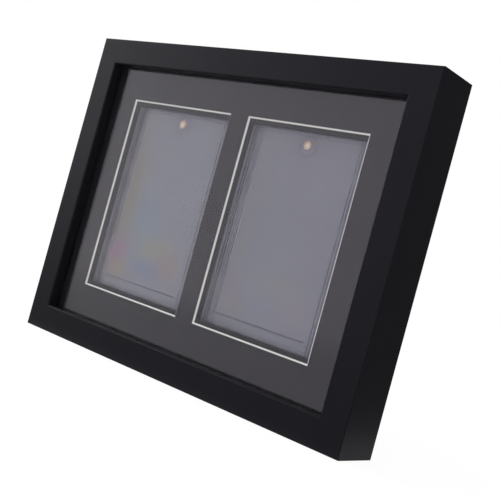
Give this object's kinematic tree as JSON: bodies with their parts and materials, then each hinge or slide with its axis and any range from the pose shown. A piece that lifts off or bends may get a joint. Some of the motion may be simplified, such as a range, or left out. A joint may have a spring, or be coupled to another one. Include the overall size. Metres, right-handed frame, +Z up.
{
  "type": "trading card display case",
  "caption": "Shallow mitred shadow-box frame with glazing, a black mat with bevelled windows and clear magnetic card holders behind them, closed by a back panel.",
  "frame": {"origin": "middle of the underside of the bounding box", "axes": "+X to the right as seen from the front, +Y to the back, +Z up"},
  "size_m": [0.252, 0.0337, 0.192],
  "materials": {
    "frame_lacquer": "satin black lacquer on a wood-fibre moulding",
    "nail_steel": "bright spring-steel strip",
    "clear_glazing": "clear polished sheet",
    "mat_paper": "fine matt black face paper",
    "mat_core": "matt off-white board core, cut at 45 degrees",
    "foam_board": "matt black foam board",
    "tray_foam": "closed-cell black foam, die cut",
    "clear_holder": "clear moulded acrylic, polished",
    "magnet_plating": "satin gold-coloured plating",
    "backing_card": "matt black backing board",
    "panel_board": "fibre board with a black face",
    "zinc_steel": "bright zinc-plated steel",
    "brassed_steel": "brassed pressed steel"
  },
  "bodies": {
    "case": {"top_rail": "frame_lacquer", "bottom_rail": "frame_lacquer", "left_rail": "frame_lacquer", "right_rail": "frame_lacquer", "corner_v_nails": "nail_steel", "glazing": "clear_glazing", "mat_facing": "mat_paper", "mat_core": "mat_core", "window_spacer": "foam_board", "holder_tray": "tray_foam", "left_holder_base": "clear_holder", "right_holder_base": "clear_holder", "left_holder_lid": "clear_holder", "right_holder_lid": "clear_holder", "left_base_magnet": "magnet_plating", "right_base_magnet": "magnet_plating", "left_lid_magnet": "magnet_plating", "right_lid_magnet": "magnet_plating", "backing_pad": "backing_card", "back_panel": "panel_board", "turn_button_screws": "zinc_steel", "top_hanger_strap": "brassed_steel", "side_hanger_strap": "brassed_steel", "hanger_rivets": "brassed_steel"},
    "top_left_turn_button": {"top_left_turn_button": "zinc_steel"},
    "top_right_turn_button": {"top_right_turn_button": "zinc_steel"},
    "bottom_left_turn_button": {"bottom_left_turn_button": "zinc_steel"},
    "bottom_right_turn_button": {"bottom_right_turn_button": "zinc_steel"},
    "left_turn_button": {"left_turn_button": "zinc_steel"},
    "right_turn_button": {"right_turn_button": "zinc_steel"},
    "top_hanging_ring": {"top_hanging_ring": "zinc_steel"},
    "side_hanging_ring": {"side_hanging_ring": "zinc_steel"}
  },
  "joints": [
    {"name": "top_left_turn_button_pivot", "type": "hinge", "parent": "case", "child": "top_left_turn_button", "pos_m": [-0.07, 0.0138, 0.1864], "axis": [0, 1, 0], "range_deg": [-90, 90]},
    {"name": "top_right_turn_button_pivot", "type": "hinge", "parent": "case", "child": "top_right_turn_button", "pos_m": [0.07, 0.0138, 0.1864], "axis": [0, 1, 0], "range_deg": [-90, 90]},
    {"name": "bottom_left_turn_button_pivot", "type": "hinge", "parent": "case", "child": "bottom_left_turn_button", "pos_m": [-0.07, 0.0138, 0.0056], "axis": [0, 1, 0], "range_deg": [-90, 90]},
    {"name": "bottom_right_turn_button_pivot", "type": "hinge", "parent": "case", "child": "bottom_right_turn_button", "pos_m": [0.07, 0.0138, 0.0056], "axis": [0, 1, 0], "range_deg": [-90, 90]},
    {"name": "left_turn_button_pivot", "type": "hinge", "parent": "case", "child": "left_turn_button", "pos_m": [-0.1204, 0.0138, 0.096], "axis": [0, 1, 0], "range_deg": [-90, 90]},
    {"name": "right_turn_button_pivot", "type": "hinge", "parent": "case", "child": "right_turn_button", "pos_m": [0.1204, 0.0138, 0.096], "axis": [0, 1, 0], "range_deg": [-90, 90]},
    {"name": "top_ring_swing", "type": "hinge", "parent": "case", "child": "top_hanging_ring", "pos_m": [0, 0.015, 0.17], "axis": [1, 0, 0], "range_deg": [0, 180]},
    {"name": "side_ring_swing", "type": "hinge", "parent": "case", "child": "side_hanging_ring", "pos_m": [0.088, 0.015, 0.096], "axis": [0, 0, -1], "range_deg": [0, 180]}
  ]
}
